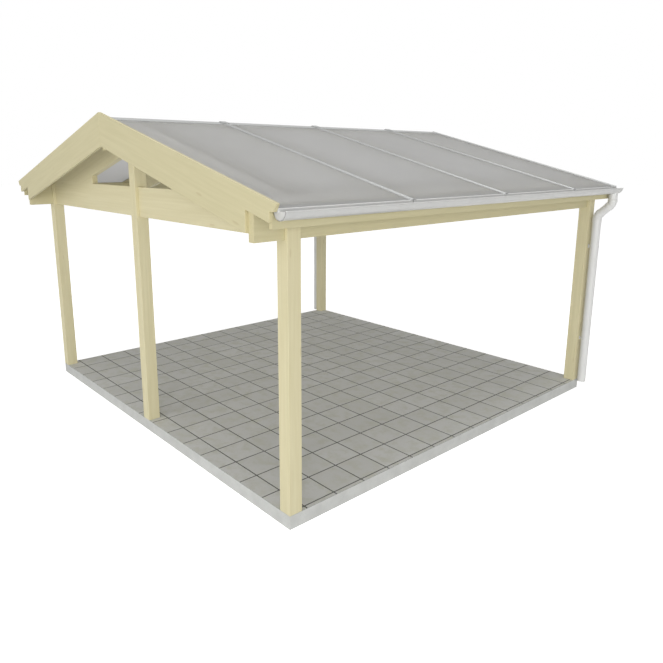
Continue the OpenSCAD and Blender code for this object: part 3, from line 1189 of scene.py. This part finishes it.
@dataclass
class Rainwater:
    """Half-round gutters with their hangers, and downpipes with swan necks and clips."""

    wall: float = 2.5 * MM
    cap_wall: float = 1.2 * MM
    bead: float = 5 * MM
    bead_steps: int = 18
    pipe: float = 45 * MM
    socket: float = 48.5 * MM
    bend: float = 70 * MM
    swan: float = math.radians(47)
    outlet: float = 76 * MM
    hanger_count: int = 8
    clip_heights: tuple[float, ...] = (0.62, 1.68)
    low: Vector = field(default_factory=lambda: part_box("gutter_right")[0])
    high: Vector = field(default_factory=lambda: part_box("gutter_right")[1])
    pipe_low: Vector = field(default_factory=lambda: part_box("downpipe_right")[0])
    pipe_high: Vector = field(default_factory=lambda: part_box("downpipe_right")[1])

    def __post_init__(self) -> None:
        """Works out the gutter's and the pipe's axes."""
        self.radius = (self.high.x - self.low.x - self.bead) / 2
        self.x = self.low.x + self.radius
        self.rim = self.low.z + self.radius
        self.pipe_y = (self.pipe_low.y + self.pipe_high.y) / 2
        self.pipe_x = self.pipe_low.x + self.socket

    def build(self) -> None:
        """Builds both sides."""
        for side in ("right", "left"):
            self.gutter(side)
            self.hangers(side)
            self.downpipe(side)
            self.clips(side)

    def arc(self, radius: float, y: float) -> list[tuple[float, float, float]]:
        """Returns the lower half circle about the gutter's axis, from the fascia outwards.

        Args:
            radius: the circle's radius.
            y: its place along the gutter.

        Returns:
            29 points.
        """
        turns = [math.pi * (1 + k / 28) for k in range(29)]
        return [(self.x + radius * math.cos(t), y, self.rim + radius * math.sin(t)) for t in turns]

    def gutter(self, side: str) -> None:
        """Builds a gutter: the trough with its outlet hole, a rolled lip and two end caps.

        Args:
            side: "right" or "left".
        """
        shape = bmesh.new()
        y0, y1 = self.low.y, self.high.y
        outer = self.radius - self.cap_wall
        ring = self.arc(outer, y0) + self.arc(outer - self.wall, y0)[::-1]
        drawn(shape, chain(shape, ring, closed=True), (0.0, y1 - y0, 0.0))
        trough = lay(
            f"gutter_{side}_trough",
            mesh_from(f"gutter_{side}_trough", shape, 30),
            [UPVC],
            (f"gutter_{side}",),
        )
        self.cut_outlet(trough)
        self.roll_lip(trough)
        if side == "left":
            trough.data.transform(Matrix.Scale(-1, 4, Vector((1, 0, 0))))
            trough.data.flip_normals()
        caps = bmesh.new()
        for y, out in ((y0, 1), (y1, -1)):
            self.end_cap(caps, y, out)
        if side == "left":
            mirrored(caps)
        lay(f"gutter_{side}_end_caps", mesh_from(f"gutter_{side}_end_caps", caps, 30), [UPVC])

    def roll_lip(self, trough: bpy.types.Object) -> None:
        """Rolls the bead along the trough's outer lip."""
        shape = bmesh.new()
        shape.from_mesh(trough.data)
        centre, r = Vector((self.x + self.radius, self.low.y, self.rim)), self.bead
        turns = [2 * math.pi * k / self.bead_steps for k in range(self.bead_steps)]
        ring = [tuple(centre + Vector((r * math.sin(t), 0.0, r * math.cos(t)))) for t in turns]
        drawn(shape, chain(shape, ring, closed=True), (0.0, self.high.y - self.low.y, 0.0))
        bmesh.ops.recalc_face_normals(shape, faces=shape.faces)
        shape.to_mesh(trough.data)
        shape.free()
        trough.data.shade_smooth()
        trough.data.set_sharp_from_angle(angle=math.radians(30))

    def cut_outlet(self, trough: bpy.types.Object) -> None:
        """Cuts the round hole of the outlet into the trough's floor."""
        shape = bmesh.new()
        bmesh.ops.create_cone(
            shape,
            cap_ends=True,
            segments=40,
            radius1=self.pipe - self.wall,
            radius2=self.pipe - self.wall,
            depth=0.06,
            matrix=Matrix.Translation((self.x, self.pipe_y, self.low.z)),
        )
        cutter = bpy.data.objects.new("outlet_cutter", mesh_from("outlet_cutter", shape))
        bpy.context.scene.collection.objects.link(cutter)
        hole = trough.modifiers.new("outlet", "BOOLEAN")
        hole.operation, hole.solver, hole.object = "DIFFERENCE", "EXACT", cutter
        graph = bpy.context.evaluated_depsgraph_get()
        cut = bpy.data.meshes.new_from_object(trough.evaluated_get(graph))
        trough.modifiers.clear()
        old, trough.data = trough.data, cut
        cut.name = old.name + "_cut"
        bpy.data.meshes.remove(old)
        bpy.data.objects.remove(cutter)

    def end_cap(self, shape: bmesh.types.BMesh, y: float, out: int) -> None:
        """Adds a stop end: a plate just inside the trough's end with a rim round the outside.

        Args:
            shape: the bmesh to add to.
            y: the gutter's end.
            out: 1 if the trough runs towards +Y from here, otherwise -1.
        """
        drawn(shape, chain(shape, self.arc(self.radius, y), closed=True), (0.0, out * 3 * MM, 0.0))
        back = y + out * 2.5 * MM
        ring = self.arc(self.radius, back) + self.arc(self.radius - 1.5 * self.cap_wall, back)[::-1]
        drawn(shape, chain(shape, ring, closed=True), (0.0, out * 18 * MM, 0.0))

    def hangers(self, side: str) -> None:
        """Builds the straps that hold a gutter from inside, about 600 mm apart.

        Args:
            side: "right" or "left".
        """
        shape = bmesh.new()
        fascia = self.low.x
        line = [(4.4, -9), (6, -15), (12, -24), (40, -26), (98, -26), (110, -20), (115, -8), (118, 1.5)]
        first, last = self.low.y + 0.12, self.pipe_y - 0.15
        for k in range(self.hanger_count):
            y = first + k * (last - first) / (self.hanger_count - 1)
            edges = chain(shape, [(fascia + a * MM, y, self.rim + b * MM) for a, b in line])
            drawn(shape, edges, (0.0, 22 * MM, 0.0), capped=False)
        bmesh.ops.recalc_face_normals(shape, faces=shape.faces)
        bmesh.ops.solidify(shape, geom=list(shape.faces), thickness=1.8 * MM)
        if side == "left":
            mirrored(shape)
        name = f"gutter_{side}_hangers"
        lay(name, mesh_from(name, shape, 40), [ZINC])

    def sleeve(self, shape: bmesh.types.BMesh, place: Matrix, below: float, above: float) -> None:
        """Adds a moulded socket with rounded lips round a pipe.

        Args:
            shape: the bmesh to add to.
            place: the joint, with Z along the pipe.
            below: its length below the joint.
            above: its length above the joint.
        """
        r, c = self.socket, 1.2 * MM
        inside = self.pipe - 0.5 * MM
        lathe(
            shape,
            [
                (inside, -below),
                (r - c, -below),
                (r, -below + c),
                (r, above - 4 * c),
                (r - c, above - 2.5 * c),
                (r - c, above - c),
                (r - 2 * c, above),
                (inside, above),
            ],
            place,
        )

    def downpipe(self, side: str) -> None:
        """Builds a downpipe: outlet, swan neck and straight pipe with their sockets.

        Args:
            side: "right" or "left".
        """
        shape = bmesh.new()
        turn_in = self.bend * (1 - math.cos(self.swan))
        slant = (self.x - self.pipe_x - 2 * turn_in) / math.sin(self.swan)
        drop = self.bend * math.sin(self.swan)
        top = self.rim - self.radius - self.outlet
        foot = top - 2 * drop - slant * math.cos(self.swan)
        start = bmesh.ops.create_circle(
            shape, cap_ends=False, segments=40, radius=self.pipe, matrix=Matrix.Translation(
                (self.x, self.pipe_y, self.rim - self.radius)
            )
        )["verts"]
        ring = list({e for v in start for e in v.link_edges})
        slope = Vector((-math.sin(self.swan), 0.0, -math.cos(self.swan)))
        ring = self.draw_ring(shape, ring, Vector((0, 0, top - (self.rim - self.radius))))
        ring = self.bend_ring(shape, ring, (self.x - self.bend, self.pipe_y, top), self.swan)
        ring = self.draw_ring(shape, ring, slope * slant)
        ring = self.bend_ring(shape, ring, (self.pipe_x + self.bend, self.pipe_y, foot), -self.swan)
        self.draw_ring(shape, ring, Vector((0, 0, self.pipe_low.z - foot)))
        for vert in start:
            vert.co.z = self.rim - math.sqrt((self.radius - self.cap_wall) ** 2 - (vert.co.x - self.x) ** 2)
        bmesh.ops.recalc_face_normals(shape, faces=shape.faces)
        bmesh.ops.solidify(shape, geom=list(shape.faces), thickness=self.wall)
        lean = Matrix.Rotation(self.swan, 4, "Y")
        upper = Matrix.Translation((self.x - turn_in, self.pipe_y, top - drop)) @ lean
        lower = Matrix.Translation((self.pipe_x + turn_in, self.pipe_y, foot + drop)) @ lean
        self.sleeve(shape, Matrix.Translation((self.x, self.pipe_y, top)), 10 * MM, 22 * MM)
        self.sleeve(shape, upper, 22 * MM, 10 * MM)
        self.sleeve(shape, lower, 10 * MM, 22 * MM)
        self.sleeve(shape, Matrix.Translation((self.pipe_x, self.pipe_y, foot)), 44 * MM, 10 * MM)
        if side == "left":
            mirrored(shape)
        name = f"downpipe_{side}_drawn"
        lay(name, mesh_from(name, shape, 40), [UPVC_PIPE], (f"downpipe_{side}",))

    def draw_ring(self, shape: bmesh.types.BMesh, ring: list, along: Vector) -> list:
        """Draws a pipe's open ring on in a straight line.

        Args:
            shape: the bmesh.
            ring: the ring's edges.
            along: length and direction.

        Returns:
            The edges of the new ring.
        """
        made = bmesh.ops.extrude_edge_only(shape, edges=ring)["geom"]
        bmesh.ops.translate(shape, vec=along, verts=[g for g in made if isinstance(g, bmesh.types.BMVert)])
        return [g for g in made if isinstance(g, bmesh.types.BMEdge)]

    def bend_ring(self, shape: bmesh.types.BMesh, ring: list, centre: tuple, angle: float) -> list:
        """Draws a pipe's open ring on round a bend in the X-Z plane.

        Args:
            shape: the bmesh.
            ring: the ring's edges.
            centre: the bend's centre.
            angle: the bend's angle about Y.

        Returns:
            The edges of the new ring.
        """
        verts = list({v for e in ring for v in e.verts})
        made = bmesh.ops.spin(
            shape,
            geom=verts + ring,
            cent=centre,
            axis=(0, 1, 0),
            angle=angle,
            steps=8,
            use_merge=False,
            use_duplicate=False,
        )
        return [g for g in made["geom_last"] if isinstance(g, bmesh.types.BMEdge)]

    def clips(self, side: str) -> None:
        """Builds the clips that hold a downpipe to its post, each a band with a foot and two screws.

        Args:
            side: "right" or "left".
        """
        shape = bmesh.new()
        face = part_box("post_back_right")[1].x
        r, y = self.pipe, self.pipe_y
        section = [(-0.4, -11), (1.6, -11), (2, -10), (2, 10), (1.6, 11), (-0.4, 11)]
        band = [(r + a * MM, b * MM) for a, b in section]
        for z in self.clip_heights:
            lathe(shape, band, Matrix.Translation((self.pipe_x, y, z)))
            block(
                shape, (face, y - 15 * MM, z - 20 * MM), (face + 3 * MM, y + 15 * MM, z + 20 * MM), 0.8 * MM
            )
            stem = (self.pipe_x - r + 0.5 * MM, y + 6 * MM, z + 6 * MM)
            block(shape, (face + 2.5 * MM, y - 6 * MM, z - 6 * MM), stem, 0.8 * MM)
            for way in (-1, 1):
                turn = Matrix.Rotation(math.pi / 2, 4, "Y")
                head = Matrix.Translation((face + 4 * MM, y, z + way * 14 * MM)) @ turn
                bmesh.ops.create_cone(
                    shape,
                    cap_ends=True,
                    segments=14,
                    radius1=4 * MM,
                    radius2=2.6 * MM,
                    depth=2 * MM,
                    matrix=head,
                )
        if side == "left":
            mirrored(shape)
        name = f"downpipe_{side}_clips"
        lay(name, mesh_from(name, shape, 40), [UPVC_PIPE])


# --- joinery ---


@dataclass
class Joinery:
    """Steel fittings on the frame's inner faces: ridge angles and the nuts of the tie-beam bolts."""

    leg: float = 90 * MM
    plate: float = 2.5 * MM
    tall: float = 80 * MM
    nail: float = 4.5 * MM
    nut_heights: tuple[float, ...] = (62 * MM, 208 * MM)

    def build(self) -> None:
        """Builds all the fittings."""
        self.ridge_angles()
        self.bolt_nuts()

    def nails(self, shape: bmesh.types.BMesh, corner: Vector, across: Vector, out: Vector) -> None:
        """Adds four nail heads to a leg of an angle.

        Args:
            shape: the bmesh to add to.
            corner: the leg's lower end at the bend, on its outer face.
            across: the direction from the bend to the leg's edge.
            out: the direction that the heads face.
        """
        turn = out.to_track_quat("Z", "Y").to_matrix().to_4x4()
        for a in (0.4, 0.8):
            for b in (0.25, 0.75):
                at = corner + across * (self.leg * a) + Vector((0, 0, self.tall * b))
                bmesh.ops.create_cone(
                    shape,
                    cap_ends=True,
                    segments=12,
                    radius1=self.nail,
                    radius2=self.nail * 0.7,
                    depth=1.4 * MM,
                    matrix=Matrix.Translation(at + out * 0.6 * MM) @ turn,
                )

    def ridge_angles(self) -> None:
        """Builds an angle where each rafter meets the ridge beam, on the side towards the house."""
        low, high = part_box("ridge_beam")
        z0 = low.z + 0.35 * (high.z - low.z)
        shape = bmesh.new()
        for k in (1, 2, 3):
            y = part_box(f"rafter_right_{k}")[1].y
            x = high.x
            block(shape, (x, y, z0), (x + self.plate, y + self.leg, z0 + self.tall), 0.5 * MM)
            block(shape, (x, y, z0), (x + self.leg, y + self.plate, z0 + self.tall), 0.5 * MM)
            self.nails(shape, Vector((x + self.plate, y, z0)), Vector((0, 1, 0)), Vector((1, 0, 0)))
            self.nails(shape, Vector((x, y + self.plate, z0)), Vector((1, 0, 0)), Vector((0, 1, 0)))
        other = shape.copy()
        lay("ridge_angles_right", mesh_from("ridge_angles_right", shape, 30), [ZINC])
        lay("ridge_angles_left", mesh_from("ridge_angles_left", mirrored(other), 30), [ZINC])

    def bolt_nuts(self) -> None:
        """Builds the nuts and washers behind the front posts, where bolts pass through the tie beam."""
        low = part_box("tie_beam_front")[0]
        shape = bmesh.new()
        for post in ("post_front_left", "post_front_middle", "post_front_right"):
            a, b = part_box(post)
            for up in self.nut_heights:
                place = Matrix.Translation(((a.x + b.x) / 2, b.y, low.z + up)) @ Matrix.Rotation(
                    -math.pi / 2, 4, "X"
                )
                bolt_head(shape, place)
        lay("tie_beam_nuts", mesh_from("tie_beam_nuts", shape, 30), [ZINC])


# --- light, floor and camera ---


@dataclass
class Stage:
    """White studio: a floor that keeps the shadow, soft lamps from the front right, and the camera."""

    ambient: float = 0.34
    backdrop: float = 1.0
    floor_tone: str = "f4f4f4"
    floor_lift: float = 0.72
    eye: tuple[float, float, float] = (5.352, -4.531, 2.627)
    turn: tuple[float, float, float] = (77.628, 0.0, 48.955)
    lens: float = 33.17
    shift: tuple[float, float] = (0.02815, -0.0577)
    lamps: tuple[tuple[str, tuple[float, float, float], float, float], ...] = (
        ("front", (7.0, -26.0, 3.0), 12.0, 900.0),
        ("front_high", (2.0, -22.0, 10.0), 10.0, 620.0),
        ("right", (24.0, -9.0, 3.0), 12.0, 1120.0),
        ("fill", (18.0, -17.0, 2.8), 9.0, 1720.0),
        ("near", (6.5, -8.5, 6.5), 4.0, 50.0),
        ("sky", (2.0, -1.0, 13.0), 8.0, 600.0),
    )

    def build(self) -> None:
        """Sets the whole stage."""
        bpy.context.scene.view_settings.view_transform = "Standard"
        self.world()
        self.floor()
        for name, place, size, power in self.lamps:
            self.lamp(name, Vector(place), size, power)
        self.camera()

    def seen(self, tree: bpy.types.NodeTree) -> bpy.types.Node:
        """Adds nodes that give 1 for what the camera, a reflection or glass sees, and returns the last."""
        path = add(tree, "LightPath")
        direct = add(
            tree,
            "Math",
            {0: path.outputs["Is Camera Ray"], 1: path.outputs["Is Glossy Ray"]},
            operation="MAXIMUM",
        )
        return add(
            tree,
            "Math",
            {0: direct.outputs[0], 1: path.outputs["Is Transmission Ray"]},
            operation="MAXIMUM",
        )

    def world(self) -> None:
        """Lights the scene from all round, and shows white behind it."""
        world = bpy.data.worlds.new("studio")
        bpy.context.scene.world = world
        world.use_nodes = True
        tree = world.node_tree
        tree.nodes.clear()
        seen = self.seen(tree)
        around = add(tree, "Background", {"Color": (1.0, 1.0, 1.0, 1.0), "Strength": self.ambient})
        behind = add(tree, "Background", {"Color": (1.0, 1.0, 1.0, 1.0), "Strength": self.backdrop})
        mixed = add(tree, "MixShader", {0: seen.outputs[0], 1: around.outputs[0], 2: behind.outputs[0]})
        add(tree, "OutputWorld", {"Surface": mixed.outputs[0]})

    def floor(self) -> None:
        """Lays the pale floor, which looks white where it is lit and keeps a soft shadow."""
        shape = bmesh.new()
        bmesh.ops.create_grid(shape, x_segments=1, y_segments=1, size=60.0)
        mesh = mesh_from("studio_floor", shape)
        for poly in mesh.polygons:
            if poly.normal.z < 0:
                poly.flip()
        made = bpy.data.materials.new("studio_floor")
        made.use_nodes = True
        tree = made.node_tree
        tree.nodes.clear()
        matt = add(tree, "BsdfDiffuse", {"Color": linear(self.floor_tone)})
        seen = self.seen(tree)
        lift = add(tree, "Math", {0: seen.outputs[0], 1: self.floor_lift}, operation="MULTIPLY")
        glow = add(tree, "Emission", {"Color": (1.0, 1.0, 1.0, 1.0), "Strength": lift.outputs[0]})
        both = add(tree, "AddShader", {0: matt.outputs[0], 1: glow.outputs[0]})
        add(tree, "OutputMaterial", {"Surface": both.outputs[0]})
        mesh.materials.append(made)
        floor = bpy.data.objects.new("studio_floor", mesh)
        bpy.context.scene.collection.objects.link(floor)

    def lamp(self, name: str, place: Vector, size: float, power: float) -> None:
        """Hangs a soft square lamp that points at the middle of the frame.

        Args:
            name: the lamp's name.
            place: where it hangs.
            size: the length of its side.
            power: its power in watts.
        """
        light = bpy.data.lights.new(name, "AREA")
        light.shape, light.size, light.energy = "SQUARE", size, power
        hung = bpy.data.objects.new(name, light)
        hung.location = place
        hung.rotation_euler = (Vector((0, 0, 1.3)) - place).to_track_quat("-Z", "Y").to_euler()
        bpy.context.scene.collection.objects.link(hung)

    def camera(self) -> None:
        """Sets up the camera at the front right, a little above the eaves."""
        data = bpy.data.cameras.new("camera")
        data.lens = self.lens
        data.shift_x, data.shift_y = self.shift
        data.clip_end = 200.0
        held = bpy.data.objects.new("camera", data)
        held.location = self.eye
        held.rotation_euler = [math.radians(a) for a in self.turn]
        bpy.context.scene.collection.objects.link(held)
        bpy.context.scene.camera = held


def main() -> None:
    """Builds the sub-assemblies in order, then sets the stage."""
    for part in (FloorSlab(), TimberFrame(), RoofCovering(), Rainwater(), Joinery()):
        log.info("building %s", type(part).__name__)
        part.build()
    Stage().build()


if __name__ == "__main__":
    main()
